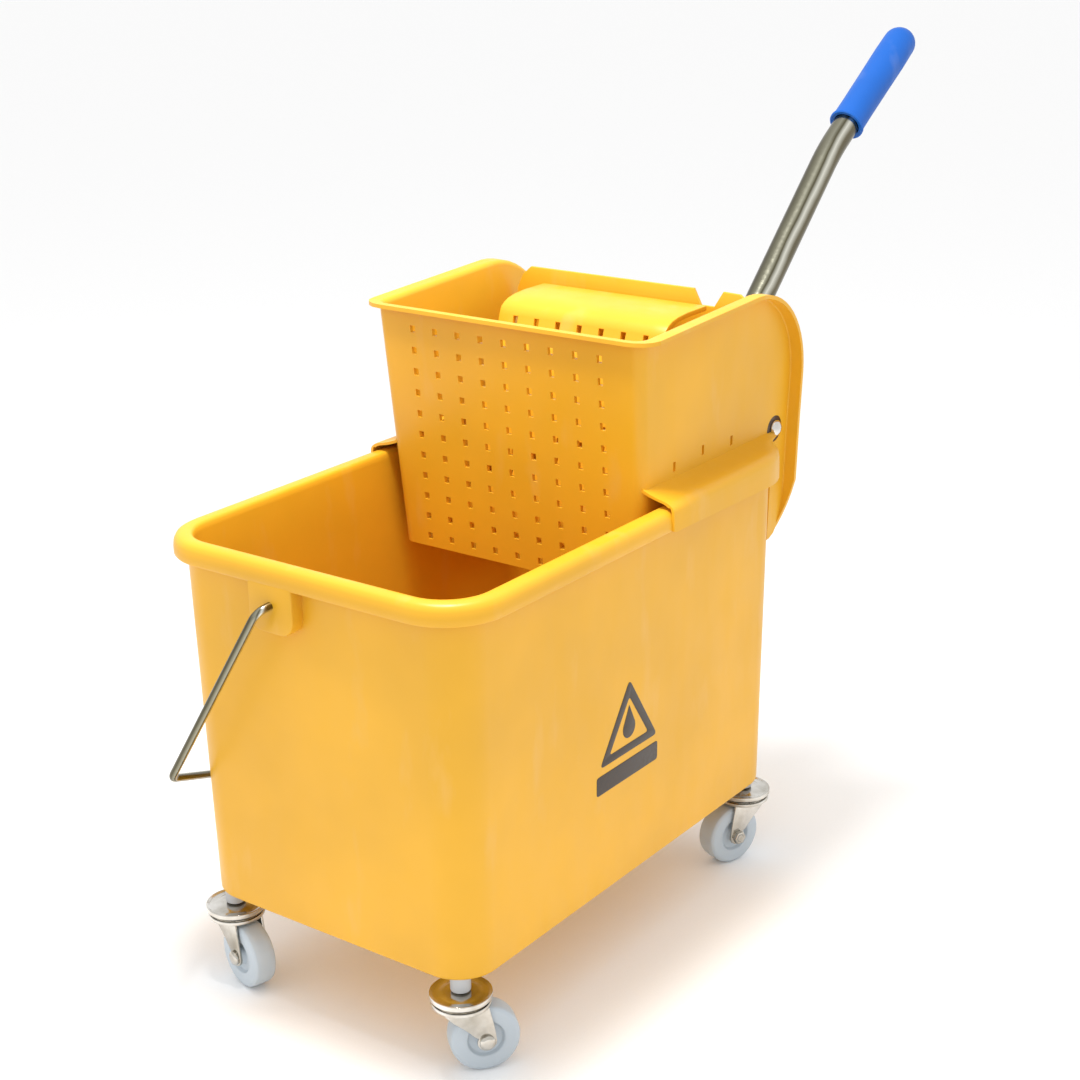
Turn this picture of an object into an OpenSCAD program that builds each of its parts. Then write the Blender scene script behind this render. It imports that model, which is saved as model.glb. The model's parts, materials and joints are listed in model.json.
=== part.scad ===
// Mop bucket on castors with a side-press wringer.
// Millimetres. Origin at the centre of the tub's flat underside.
// X across the bucket, Y along it (wringer at +Y), Z up.

/* [Tub] */
// Width over the walls at the rim
tub_w = 257; // [253:1:260]
// Length over the walls at the rim
tub_l = 411; // [407:1:414]
// Height from the underside to the top of the rim
tub_h = 280; // [277:1:280]
// Draft of each wall over the height
tub_draft = 4; // [3:0.5:5]
// Wall thickness
tub_wall = 3; // [2.5:0.5:3.5]
// Corner radius of the tub at the rim
tub_r = 30; // [28:1:31]
// Overhang of the rolled rim
rim_over = 10.5; // [9:0.5:10.5]
// Height of the rim's skirt
rim_drop = 15; // [12:1:17]

/* [Bail] */
// Wire diameter
wire_d = 6; // [5:0.5:6]
// Arm length from the pivot to the corner
bail_arm = 178; // [175:1:181]
// Angle of the hanging arm from straight down
bail_hang = 33; // [32:1:36]
// Slope of the crossbar outward from each corner
bail_slope = 26; // [22:1:28]

/* [Castors] */
// Wheel diameter
wheel_d = 50; // [46:1:50]
// Wheel width
wheel_w = 18.5; // [16:0.5:18.5]
// Trail of the axle behind the swivel
trail = 15; // [13:1:16]

/* [Wringer] */
// Wall thickness of the housing
wr_wall = 3; // [2.5:0.5:3.5]
// Width of the rolled flange round the cheeks
flange_w = 10; // [8:1:11]
// Width of a drain hole
hole_w = 4.5; // [3:0.5:6]
// Height of a drain hole
hole_h = 5.5; // [3:0.5:7]
// Thickness of the press plate
plate_t = 4; // [3:0.5:4]

/* [Lever] */
// Tube diameter
tube_d = 22; // [20:1:22]
// Grip diameter
grip_d = 28.6; // [27:0.2:30]
// Grip length
grip_l = 125; // [115:1:130]

/* [Hidden] */
$fn = 48;
tub_floor = 3.5;
// Flat panel in the middle of the underside, set off by a shallow groove.
base_w = 160;
base_l = 280;
base_r = 20;
base_groove = 4;
base_groove_t = 1;
rim_r = 58;
castor_x = 107;
castor_y = 188;
boss_r = 8.8;
boss_h = 36;
sleeve_r = 6.5;
collar_r = 7.25;
collar_h = 11;
stem_r = 5;
stem_top = 31;
dish_r = 22.25;
dish_low = -18;
race_z = -19;
race_t = 2.5;
race_r = 20.3;
king_r = 3;
run = 0.05;
lap = 0.02;
ball_r = 1.8;
ball_ring = 14;
ball_z = -16.9;
ball_n = 10;
axle_z = -48.7;
axle_r = 3;
leg_y = 11.25;
leg_t = 2;
az_fr = 51;
az_fl = -15;
az_rr = -109;
az_rl = -70;

lug_x = -24;
lug_w = 40;
lug_z = 231;
pivot_z = 251;
front_arm_y = -228;
rear_arm_y = 252;
rear_lug_y = 238;

wr_top = 406;
wr_low = 209;
front_top_y = 17.3;
front_tilt = 4.17;
cheek_x = 118;
cheek_tilt = 2.24;
arc_y = 160;
arc_z = 335;
arc_r = 76.5;
lobe_y = 201;
lobe_z = 240;
lobe_r = 38;
panel_y = 184;
shaft_y = 210;
shaft_z = 293;
shaft_r = 7;
bolt_r = 5;
pivot_boss_r = 12;
boss_x = 114.6;
washer_r = 11;
washer_t = 2;
hinge_y = 66;
hinge_z = 224;
hinge_r = 4;
plate_lean = 19.1;
barrel_r = 7;
lever_x = 52;
lever_lean = 46.8;
grip_lean = 57.5;
bend_s = 269.5;
grip_s = 34;
tube_wall = 1.5;
hub_r = 11.5;
socket_r = 14;
arm_x = 80;
arm_t = 8;
arm_lean = 236;
arm_len = 116;
lever_turn = 40;
plate_turn = 20;
track_gap = 0.8;
tube_bend_r = 120;
roller_x = 70;
roller_r = 9;
roller_w = 11.4;
pin_r = 4;

yellow = [0.96, 0.75, 0.25];
steel = [0.72, 0.72, 0.72];
grey = [0.72, 0.76, 0.8];
blue = [0.15, 0.45, 0.85];

// ---- shared shapes ----

module rrect(w, l, r) {
  square([w - 2 * r, l], center = true);
  square([w, l - 2 * r], center = true);
  for (x = [-1, 1], y = [-1, 1]) translate([x * (w / 2 - r), y * (l / 2 - r)]) circle(r);
}

// A rounded box that widens by draft on each side from z0 to z1.
module drafted(inset, z0, z1) {
  hull() {
    translate([0, 0, z0]) linear_extrude(0.01)
      rrect(tub_w - 2 * (tub_draft + inset), tub_l - 2 * (tub_draft + inset), tub_r - inset);
    translate([0, 0, z1]) linear_extrude(0.01)
      rrect(tub_w - 2 * inset, tub_l - 2 * inset, tub_r - inset);
  }
}

// Children drawn in (Y, Z), extruded toward +X from x0.
module yz_slab(x0, t) {
  translate([x0, 0, 0]) rotate([90, 0, 90]) linear_extrude(t) children();
}

// Children drawn in (X, Z), extruded toward +Y from y0.
module xz_slab(y0, t) {
  translate([0, y0 + t, 0]) rotate([90, 0, 0]) linear_extrude(t) children();
}

// A cylinder along X.
module rod_x(r, x0, x1, y, z) {
  translate([x0, y, z]) rotate([0, 90, 0]) cylinder(r = r, h = x1 - x0);
}

// Children placed along a direction that leans from +Z toward +Y.
module leaning(x, y, z, lean) {
  translate([x, y, z]) rotate([-lean, 0, 0]) children();
}

// A round rod that starts up +Z: each step is [straight run, turn toward +Y, bend radius].
module bent_rod(r, steps, i = 0) {
  translate([0, 0, -lap]) cylinder(r = r, h = steps[i][0] + 2 * lap);
  if (i + 1 < len(steps)) translate([0, steps[i][2], steps[i][0]]) {
    rotate([90, 0, -90]) rotate_extrude(angle = steps[i][1]) translate([steps[i][2], 0]) circle(r);
    rotate([-steps[i][1], 0, 0]) translate([0, -steps[i][2], 0]) bent_rod(r, steps, i + 1);
  }
}

// ---- tub ----

module lug(y0, y1) {
  difference() {
    xz_slab(y0, y1 - y0) translate([lug_x, 0]) union() {
      translate([-lug_w / 2, lug_z + 14]) square([lug_w, tub_h - 2 - lug_z - 14]);
      translate([-lug_w / 2 + 14, lug_z]) square([lug_w - 28, 20]);
      for (s = [-1, 1]) translate([s * (lug_w / 2 - 14), lug_z + 14]) circle(14);
    }
    translate([0, 0, -1]) drafted(tub_wall - 1, 0, tub_h);
  }
}

module tub() color(yellow) difference() {
  union() {
    difference() {
      drafted(0, 0, tub_h);
      drafted(tub_wall, tub_floor, tub_h + 1);
    }
    difference() {
      translate([0, 0, tub_h - rim_drop]) linear_extrude(rim_drop)
        rrect(tub_w + 2 * rim_over, tub_l + 2 * rim_over, rim_r);
      translate([0, 0, tub_h - rim_drop - 1]) linear_extrude(rim_drop + 1 - tub_wall)
        rrect(tub_w + 2 * rim_over - 2 * tub_wall, tub_l + 2 * rim_over - 2 * tub_wall, rim_r - tub_wall);
      translate([0, 0, tub_h - rim_drop - 2]) linear_extrude(rim_drop + 4)
        rrect(tub_w - 2 * tub_wall, tub_l - 2 * tub_wall, tub_r);
    }
    lug(-tub_l / 2 - rim_over, -tub_l / 2 + 2);
    lug(tub_l / 2 - 2, rear_lug_y);
    for (x = [-1, 1], y = [-1, 1]) translate([x * castor_x, y * castor_y, 1]) cylinder(r = boss_r, h = boss_h - 1);
  }
  for (x = [-1, 1], y = [-1, 1])
    translate([x * castor_x, y * castor_y, -1]) cylinder(r = sleeve_r, h = boss_h - 3);
  translate([0, 0, -1]) linear_extrude(base_groove_t + 1) difference() {
    rrect(base_w + 2 * base_groove, base_l + 2 * base_groove, base_r + base_groove);
    rrect(base_w, base_l, base_r);
  }
  translate([lug_x, -tub_l / 2 - 1, pivot_z]) rotate([90, 0, 0]) cylinder(r = wire_d / 2 + run, h = 20);
  translate([lug_x, tub_l / 2 + 1, pivot_z]) rotate([-90, 0, 0]) cylinder(r = wire_d / 2 + run, h = 40);
}

// ---- bail: drawn in (Y, distance from the pivot axis), then hung ----

bail_mid = (front_arm_y + rear_arm_y) / 2;
bail_half = (rear_arm_y - front_arm_y) / 2;
crown_half = 90;
crown_r = crown_half / sin(bail_slope);
crown_rise = (bail_half - crown_half) * tan(bail_slope);
bend_r = 9;
stub_y = tub_l / 2 + 3;
corner_cut = bend_r * tan(45 - bail_slope / 2);

// Points of an arc about [y, d], radius r, from angle a0 to a1.
function arc(y, d, r, a0, a1, n) = [for (i = [0 : n]) let (a = a0 + (a1 - a0) * i / n) [y + r * cos(a), d + r * sin(a)]];

// The front half of the wire's centre line, from its lug to the crown.
function half_wire(arm, stub, s) = concat(
  [[s * stub, 0]],
  arc(s * (arm - bend_r), bend_r, bend_r, s > 0 ? -90 : 270, s > 0 ? 0 : 180, 4),
  arc(s * (arm - bend_r), bail_arm - corner_cut, bend_r, s > 0 ? 0 : 180, s > 0 ? 90 - bail_slope : 90 + bail_slope, 4)
);

function crown() = arc(bail_mid, bail_arm + crown_rise - crown_r * cos(bail_slope), crown_r,
  90 + bail_slope, 90 - bail_slope, 8);

function backward(p) = [for (i = [len(p) - 1 : -1 : 0]) p[i]];

// A round wire along a path of [y, depth] points.
module wire(path, r, n = 16) {
  last = len(path) - 1;
  rings = [for (i = [0 : last]) let (
    d = path[min(i + 1, last)] - path[max(i - 1, 0)],
    t = d / norm(d)
  ) for (j = [0 : n - 1]) [
    r * cos(j * 360 / n),
    path[i][0] - t[1] * r * sin(j * 360 / n),
    -path[i][1] - t[0] * r * sin(j * 360 / n)
  ]];
  sides = [for (i = [0 : last - 1], j = [0 : n - 1])
    [(i + 1) * n + j, (i + 1) * n + (j + 1) % n, i * n + (j + 1) % n, i * n + j]];
  polyhedron(rings, concat(sides, [[for (j = [0 : n - 1]) j], [for (j = [n - 1 : -1 : 0]) last * n + j]]));
}

module bail() color(steel) translate([lug_x, 0, pivot_z]) rotate([0, bail_hang, 0])
  wire(concat(half_wire(-front_arm_y, stub_y, -1), crown(), backward(half_wire(rear_arm_y, stub_y, 1))), wire_d / 2);

// ---- castors: drawn round the swivel axis, trail toward +X ----

module at_castor(sx, sy, az) translate([sx * castor_x, sy * castor_y, 0]) rotate([0, 0, az]) children();

module castor_sleeves() color(grey) for (x = [-1, 1], y = [-1, 1]) at_castor(x, y, 0) difference() {
  union() {
    translate([0, 0, -collar_h]) cylinder(r = collar_r, h = collar_h);
    cylinder(r = sleeve_r, h = 30);
  }
  translate([0, 0, -collar_h - 1]) cylinder(r = stem_r, h = 60);
}

module stem() color(steel) {
  rotate_extrude() polygon([
    [0, stem_top], [stem_r - 1, stem_top], [stem_r, stem_top - 1], [stem_r, -collar_h], [11, -collar_h],
    [21, -13.6], [dish_r, -15], [dish_r, dish_low], [dish_r - 1.35, dish_low], [dish_r - 1.35, -15.6],
    [19.8, -14.8], [king_r, -14.8], [king_r, -21.8], [4.5, -21.8], [4.5, -23], [3.6, -23.8], [0, -23.8]
  ]);
}

module balls() color(steel) for (i = [0 : ball_n - 1]) rotate([0, 0, i * 360 / ball_n])
  translate([ball_ring, 0, ball_z]) sphere(ball_r, $fn = 24);

module fork() color(steel) difference() {
  union() {
    translate([0, 0, race_z - race_t]) cylinder(r = race_r, h = race_t);
    for (s = [-1, 1]) xz_slab(s * leg_y - leg_t / 2, leg_t) {
      polygon([
        [-15, race_z - 1], [16, race_z - 1], [18.4, -30], [trail + 6.4, axle_z + 1.5],
        [trail - 6.2, axle_z - 2], [2, -39], [-9, -28]
      ]);
      translate([trail, axle_z]) circle(6.5);
    }
  }
  translate([0, 0, race_z - race_t - 1]) cylinder(r = king_r + run, h = race_t + 2);
  translate([trail, 20, axle_z]) rotate([90, 0, 0]) cylinder(r = axle_r, h = 40);
}

module axle() color(steel) translate([trail, 0, axle_z]) rotate([90, 0, 0]) {
  translate([0, 0, -leg_y - 5.6]) cylinder(r = axle_r, h = 2 * leg_y + 6.6);
  translate([0, 0, leg_y + 1]) cylinder(r = 5.5, h = 2);
  translate([0, 0, leg_y + 3]) cylinder(r = 4.2, h = 1);
}

module axle_nut() color(steel) translate([trail, 0, axle_z]) rotate([90, 0, 0])
  translate([0, 0, -leg_y - 5]) difference() {
    cylinder(r = 5.6, h = 4, $fn = 6);
    translate([0, 0, -1]) cylinder(r = axle_r, h = 6);
  }

module wheel() color(grey) translate([trail, 0, axle_z]) rotate([90, 0, 0]) rotate_extrude() polygon([
  [axle_r + run, -9.9], [6.5, -9.9], [6.5, -5.75], [12.5, -5.75], [13.5, -wheel_w / 2],
  [wheel_d / 2 - 2, -wheel_w / 2], [wheel_d / 2, 2 - wheel_w / 2], [wheel_d / 2, wheel_w / 2 - 2],
  [wheel_d / 2 - 2, wheel_w / 2], [13.5, wheel_w / 2], [12.5, 5.75], [6.5, 5.75], [6.5, 9.9],
  [axle_r + run, 9.9]
]);

module castor_fr_stem() at_castor(1, -1, az_fr) stem();
module castor_fr_balls() at_castor(1, -1, az_fr) balls();
module castor_fr_fork() at_castor(1, -1, az_fr) fork();
module castor_fr_axle() at_castor(1, -1, az_fr) axle();
module castor_fr_nut() at_castor(1, -1, az_fr) axle_nut();
module castor_fr_wheel() at_castor(1, -1, az_fr) wheel();
module castor_fl_stem() at_castor(-1, -1, az_fl) stem();
module castor_fl_balls() at_castor(-1, -1, az_fl) balls();
module castor_fl_fork() at_castor(-1, -1, az_fl) fork();
module castor_fl_axle() at_castor(-1, -1, az_fl) axle();
module castor_fl_nut() at_castor(-1, -1, az_fl) axle_nut();
module castor_fl_wheel() at_castor(-1, -1, az_fl) wheel();
module castor_rr_stem() at_castor(1, 1, az_rr) stem();
module castor_rr_balls() at_castor(1, 1, az_rr) balls();
module castor_rr_fork() at_castor(1, 1, az_rr) fork();
module castor_rr_axle() at_castor(1, 1, az_rr) axle();
module castor_rr_nut() at_castor(1, 1, az_rr) axle_nut();
module castor_rr_wheel() at_castor(1, 1, az_rr) wheel();
module castor_rl_stem() at_castor(-1, 1, az_rl) stem();
module castor_rl_balls() at_castor(-1, 1, az_rl) balls();
module castor_rl_fork() at_castor(-1, 1, az_rl) fork();
module castor_rl_axle() at_castor(-1, 1, az_rl) axle();
module castor_rl_nut() at_castor(-1, 1, az_rl) axle_nut();
module castor_rl_wheel() at_castor(-1, 1, az_rl) wheel();

// ---- wringer housing ----

front_low_y = front_top_y + (wr_top - wr_low) * tan(front_tilt);

// Side outline of a cheek in (Y, Z), its rolled edge drawn in by o.
module cheek_outline(o) {
  difference() {
    union() {
      polygon([
        [front_low_y, wr_low], [front_top_y, wr_top - o], [arc_y, arc_z + arc_r - o], [arc_y, arc_z],
        [arc_y + arc_r - o, arc_z], [lobe_y + lobe_r - o, lobe_z], [lobe_y, lobe_z], [lobe_y, wr_low]
      ]);
      translate([arc_y, arc_z]) circle(arc_r - o, $fn = 96);
      intersection() {
        translate([lobe_y, lobe_z]) circle(lobe_r - o);
        translate([lobe_y, lobe_z - 50]) square([50, 50]);
      }
    }
    translate([panel_y + 3.6, wr_low - 20]) square([24.4, 95]);
  }
}

module on_cheek() translate([cheek_x, 0, wr_top]) rotate([0, cheek_tilt, 0]) translate([0, 0, -wr_top]) children();

module cheek() {
  on_cheek() {
    yz_slab(-wr_wall, wr_wall) difference() {
      cheek_outline(0);
      for (p = [[65, 299], [104, 302], [145, 299]]) translate(p) square([3, 9], center = true);
    }
    yz_slab(-wr_wall, wr_wall + flange_w) difference() {
      cheek_outline(0);
      cheek_outline(wr_wall);
      translate([lobe_y - 40, wr_low - 20]) square([100, 38]);
    }
  }
  rod_x(pivot_boss_r, 108.6, boss_x, shaft_y, shaft_z);
  translate([0, 157, 0]) mirror([0, 1, 0]) xz_slab(0, 131) polygon([
    [111, 293], [137, 286], [142.5, 282], [142.5, 268], [140, 268], [140, tub_h + 0.4],
    [125.5, tub_h + 0.4], [111, 288]
  ]);
}

module front_wall() translate([0, front_top_y, wr_top]) rotate([front_tilt, 0, 0]) {
  xz_slab(0, wr_wall) difference() {
    polygon([[-cheek_x, 0], [cheek_x, 0], [110.5, wr_low - wr_top], [-110.5, wr_low - wr_top]]);
    for (i = [-4 : 4], j = [0 : 10]) translate([i * 21.3, -20 - j * 16.8]) square([hole_w, hole_h], center = true);
  }
}

module housing_floor() translate([0, 0, wr_low]) linear_extrude(wr_wall) difference() {
  translate([-109.5, front_low_y]) square([219, 28]);
  for (i = [-4 : 4], y = [40, 51]) translate([i * 21.3, y]) square([hole_w, hole_h], center = true);
}

module rear_panel() xz_slab(panel_y, wr_wall) difference() {
  polygon([
    [-109, wr_low], [109, wr_low], [114.8, 384], [106, 402], [84, 402], [75, 389], [64, 389], [58, 402],
    [-105, 402], [-114.8, 384]
  ]);
  for (s = [-1, 1]) translate([s * arm_x - 7, 256]) square([14, 66]);
}

module wringer_housing() color(yellow) difference() {
  union() {
    front_wall();
    xz_slab(front_top_y - 9, 10) translate([-cheek_x - 9, wr_top - wr_wall]) square([2 * cheek_x + 18, wr_wall]);
    cheek();
    mirror([1, 0, 0]) cheek();
    housing_floor();
    rear_panel();
  }
  rod_x(bolt_r + run, -130, 130, shaft_y, shaft_z);
  rod_x(hinge_r, -130, 130, hinge_y, hinge_z);
}

// ---- press plate ----

// The roller's centre as [away from the plate, up the plate] from the hinge, at a share t of the stroke.
function roller_at(t) = let (
  a = plate_lean - plate_turn * t,
  y = shaft_y - hinge_y + arm_len * sin(arm_lean + lever_turn * t),
  z = shaft_z - hinge_z + arm_len * cos(arm_lean + lever_turn * t)
) [y * cos(a) - z * sin(a), y * sin(a) + z * cos(a)];

// The track's running face there: the roller's path moved toward the plate by its radius.
function track_at(t) = let (
  d = roller_at(t + 0.01) - roller_at(t - 0.01)
) roller_at(t) + (roller_r + track_gap) / norm(d) * [-d[1], d[0]];

module hinge_rod() color(steel) {
  rod_x(hinge_r, -113, 113, hinge_y, hinge_z);
  rod_x(6.5, -115, -112.2, hinge_y, hinge_z);
  rod_x(6.5, 112.2, 115, hinge_y, hinge_z);
}

module press_plate() color(yellow) difference() {
  union() {
    leaning(0, hinge_y, hinge_z, plate_lean) xz_slab(-3.6 - plate_t, plate_t) difference() {
      polygon([[-75, -2], [75, -2], [78, 166], [-78, 166]]);
      for (i = [-3 : 3], j = [0 : 9]) translate([i * 20.3, 159 - j * 14.6]) square([hole_w, hole_h], center = true);
    }
    rod_x(barrel_r, -101.5, 101.5, hinge_y, hinge_z);
    leaning(0, hinge_y, hinge_z, plate_lean) for (s = [-1, 1]) yz_slab(s * roller_x - 5, 10)
      polygon([[-4, 4], for (k = [3 : 20]) track_at(k / 20), [-4, 110]]);
    yz_slab(-77, 154) polygon([
      [111.6, 378], [114, 383.6], [121, 388.6], [132, 391.6], [145, 393], [172, 393],
      [172, 390], [145, 390], [132.6, 388.6], [122.6, 386], [116.6, 381.6], [115.4, 376.6]
    ]);
  }
  rod_x(hinge_r + run, -130, 130, hinge_y, hinge_z);
}

// ---- lever group ----

module cross_shaft() color(steel) difference() {
  rod_x(shaft_r, -107.6, 107.6, shaft_y, shaft_z);
  for (s = [-1, 1]) rod_x(bolt_r, s * 101 - 8, s * 101 + 8, shaft_y, shaft_z);
}

module pivot_bolts() color(steel) for (s = [0, 1]) mirror([s, 0, 0]) {
  rod_x(bolt_r, 94, 117.4, shaft_y, shaft_z);
  translate([boss_x + 0.3 + washer_t, shaft_y, shaft_z]) rotate([0, 90, 0]) cylinder(r = 8, h = 5, $fn = 6);
}

module pivot_washers() color(steel) for (s = [0, 1]) mirror([s, 0, 0]) difference() {
  rod_x(washer_r, boss_x + 0.3, boss_x + 0.3 + washer_t, shaft_y, shaft_z);
  rod_x(bolt_r, boss_x - 1, boss_x + 4, shaft_y, shaft_z);
}

module lever_socket() color(steel) difference() {
  union() {
    rod_x(hub_r, lever_x - 16, lever_x + 16, shaft_y, shaft_z);
    leaning(lever_x, shaft_y, shaft_z, lever_lean) translate([0, 0, 8]) cylinder(r = socket_r, h = 54);
  }
  rod_x(shaft_r, lever_x - 30, lever_x + 30, shaft_y, shaft_z);
  leaning(lever_x, shaft_y, shaft_z, lever_lean) {
    translate([0, 0, 16]) cylinder(r = tube_d / 2, h = 60);
    translate([-20, 0, 46]) rotate([0, 90, 0]) cylinder(r = 3, h = 40);
  }
}

module socket_bolt() color(steel) leaning(lever_x, shaft_y, shaft_z, lever_lean) {
  translate([-socket_r, 0, 46]) rotate([0, 90, 0]) cylinder(r = 3, h = 2 * socket_r);
  translate([-socket_r - 3, 0, 46]) rotate([0, 90, 0]) cylinder(r = 5.5, h = 3);
  translate([socket_r, 0, 46]) rotate([0, 90, 0]) cylinder(r = 5.5, h = 4, $fn = 6);
}

tube_cut = tube_bend_r * tan((grip_lean - lever_lean) / 2);

module lever_tube() color(steel) leaning(lever_x, shaft_y, shaft_z, lever_lean) difference() {
  translate([0, 0, 17]) bent_rod(tube_d / 2, [
    [bend_s - 17 - tube_cut, grip_lean - lever_lean, tube_bend_r], [grip_s + grip_l - 10 - tube_cut, 0, 0]
  ]);
  translate([0, 0, 16]) bent_rod(tube_d / 2 - tube_wall, [
    [bend_s - 16 - tube_cut, grip_lean - lever_lean, tube_bend_r], [grip_s + grip_l - 9 - tube_cut, 0, 0]
  ]);
  translate([-20, 0, 46]) rotate([0, 90, 0]) cylinder(r = 3, h = 40);
}

module lever_grip() color(blue) leaning(lever_x, shaft_y, shaft_z, lever_lean) translate([0, 0, bend_s])
  rotate([lever_lean - grip_lean, 0, 0]) translate([0, 0, grip_s]) difference() {
    union() {
      cylinder(r = grip_d / 2, h = grip_l - grip_d / 2);
      cylinder(r = grip_d / 2 + 1, h = 2.5);
      translate([0, 0, grip_l - grip_d / 2]) sphere(grip_d / 2);
    }
    translate([0, 0, -1]) cylinder(r = tube_d / 2, h = grip_l - 9);
  }

// A flat push arm, its roller on the side of the centre line.
module push_arm() color(steel) leaning(0, shaft_y, shaft_z, arm_lean) yz_slab(arm_x - arm_t / 2, arm_t) difference() {
  union() {
    circle(11);
    translate([-5.5, 0]) square([11, arm_len]);
    translate([0, arm_len]) circle(8);
  }
  circle(shaft_r);
  translate([0, arm_len]) circle(pin_r);
}

module push_arm_right() push_arm();
module push_arm_left() mirror([1, 0, 0]) push_arm();

module roller_pins() color(steel) for (s = [0, 1]) mirror([s, 0, 0])
  leaning(0, shaft_y, shaft_z, arm_lean) translate([0, 0, arm_len]) rotate([0, 90, 0]) {
    translate([0, 0, roller_x - 6]) cylinder(r = pin_r, h = arm_x + arm_t / 2 - roller_x + 6);
    translate([0, 0, roller_x - 8]) cylinder(r = 6, h = 2);
    translate([0, 0, arm_x + arm_t / 2]) cylinder(r = 6, h = 2);
  }

module roller() color(grey) leaning(0, shaft_y, shaft_z, arm_lean) translate([roller_x - roller_w / 2, 0, arm_len])
  rotate([0, 90, 0]) difference() {
    cylinder(r = roller_r, h = roller_w);
    translate([0, 0, -1]) cylinder(r = pin_r + run, h = roller_w + 2);
  }

module roller_right() roller();
module roller_left() mirror([1, 0, 0]) roller();

tub();
bail();
castor_sleeves();
castor_fr_stem();
castor_fr_balls();
castor_fr_fork();
castor_fr_axle();
castor_fr_nut();
castor_fr_wheel();
castor_fl_stem();
castor_fl_balls();
castor_fl_fork();
castor_fl_axle();
castor_fl_nut();
castor_fl_wheel();
castor_rr_stem();
castor_rr_balls();
castor_rr_fork();
castor_rr_axle();
castor_rr_nut();
castor_rr_wheel();
castor_rl_stem();
castor_rl_balls();
castor_rl_fork();
castor_rl_axle();
castor_rl_nut();
castor_rl_wheel();
wringer_housing();
press_plate();
hinge_rod();
cross_shaft();
pivot_bolts();
pivot_washers();
lever_socket();
socket_bolt();
lever_tube();
lever_grip();
push_arm_right();
push_arm_left();
roller_pins();
roller_right();
roller_left();
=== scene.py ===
import json
import math

import bmesh
import bpy
from mathutils import Matrix, Vector


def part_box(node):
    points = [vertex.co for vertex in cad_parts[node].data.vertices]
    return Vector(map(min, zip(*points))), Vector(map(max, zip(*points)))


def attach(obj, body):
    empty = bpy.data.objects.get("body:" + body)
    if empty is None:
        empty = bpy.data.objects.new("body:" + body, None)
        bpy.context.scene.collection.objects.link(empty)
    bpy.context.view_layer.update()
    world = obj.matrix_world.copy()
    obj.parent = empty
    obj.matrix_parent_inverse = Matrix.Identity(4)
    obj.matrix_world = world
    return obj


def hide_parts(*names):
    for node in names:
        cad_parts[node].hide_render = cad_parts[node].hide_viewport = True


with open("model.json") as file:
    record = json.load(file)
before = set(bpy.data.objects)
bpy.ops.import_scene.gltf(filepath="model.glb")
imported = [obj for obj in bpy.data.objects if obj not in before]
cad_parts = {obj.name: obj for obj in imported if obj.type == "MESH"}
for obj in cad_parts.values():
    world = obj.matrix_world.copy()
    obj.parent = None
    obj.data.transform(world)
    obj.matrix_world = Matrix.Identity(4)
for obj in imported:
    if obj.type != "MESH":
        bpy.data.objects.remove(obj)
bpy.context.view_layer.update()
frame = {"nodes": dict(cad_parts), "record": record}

MM = 0.001
YELLOW = (0.78, 0.405, 0.019)
NODES = frame["nodes"]


# ---- materials ----

def new_material(name):
    mat = bpy.data.materials.new(name)
    mat.use_nodes = True
    tree = mat.node_tree
    return mat, tree.nodes, tree.links, tree.nodes["Principled BSDF"]


def noise(nodes, links, scale, detail=4.0, stretch=(1, 1, 1)):
    """A noise texture in object space, scale per metre."""
    coord = nodes.new("ShaderNodeTexCoord")
    mapping = nodes.new("ShaderNodeMapping")
    mapping.inputs["Scale"].default_value = stretch
    tex = nodes.new("ShaderNodeTexNoise")
    tex.inputs["Scale"].default_value = scale
    tex.inputs["Detail"].default_value = detail
    links.new(coord.outputs["Object"], mapping.inputs["Vector"])
    links.new(mapping.outputs["Vector"], tex.inputs["Vector"])
    return tex.outputs["Fac"]


def ramp(nodes, links, source, stops):
    node = nodes.new("ShaderNodeValToRGB")
    elements = node.color_ramp.elements
    while len(elements) < len(stops):
        elements.new(0.5)
    for element, (place, colour) in zip(elements, stops):
        element.position = place
        element.color = (*colour, 1)
    links.new(source, node.inputs["Fac"])
    return node.outputs["Color"]


def spread(nodes, links, source, low, high):
    node = nodes.new("ShaderNodeMapRange")
    node.inputs["From Min"].default_value = 0.3
    node.inputs["From Max"].default_value = 0.7
    node.inputs["To Min"].default_value = low
    node.inputs["To Max"].default_value = high
    links.new(source, node.inputs["Value"])
    return node.outputs["Result"]


def bump(nodes, links, bsdf, source, strength, distance):
    node = nodes.new("ShaderNodeBump")
    node.inputs["Strength"].default_value = strength
    node.inputs["Distance"].default_value = distance
    links.new(source, node.inputs["Height"])
    links.new(node.outputs["Normal"], bsdf.inputs["Normal"])


def shade(colour, factor):
    return tuple(min(1.0, c * factor) for c in colour)


def plastic(name, colour, rough, vary=0.06, grain=900):
    """Moulded plastic: a slow drift of tone, faint rubbed streaks, scuffed gloss and a fine grain."""
    mat, nodes, links, bsdf = new_material(name)
    drift = ramp(nodes, links, noise(nodes, links, 9, 3),
                 [(0.35, shade(colour, 1 - vary)), (0.65, shade(colour, 1 + vary))])
    rubbed = nodes.new("ShaderNodeMix")
    rubbed.data_type = "RGBA"
    rubbed.inputs["B"].default_value = (*(c + (0.8 - c) * 0.10 for c in colour), 1)
    streaks = ramp(nodes, links, noise(nodes, links, 38, 9, (1, 1, 0.3)),
                   [(0.60, (0, 0, 0)), (0.82, (0.7, 0.7, 0.7))])
    links.new(streaks, rubbed.inputs["Factor"])
    links.new(drift, rubbed.inputs["A"])
    links.new(rubbed.outputs["Result"], bsdf.inputs["Base Color"])
    scuff = noise(nodes, links, 60, 6, (1, 1, 0.35))
    links.new(spread(nodes, links, scuff, rough - 0.06, rough + 0.08), bsdf.inputs["Roughness"])
    bump(nodes, links, bsdf, noise(nodes, links, grain, 2), 0.12, 0.0002)
    bsdf.inputs["Specular IOR Level"].default_value = 0.4
    return mat


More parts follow.
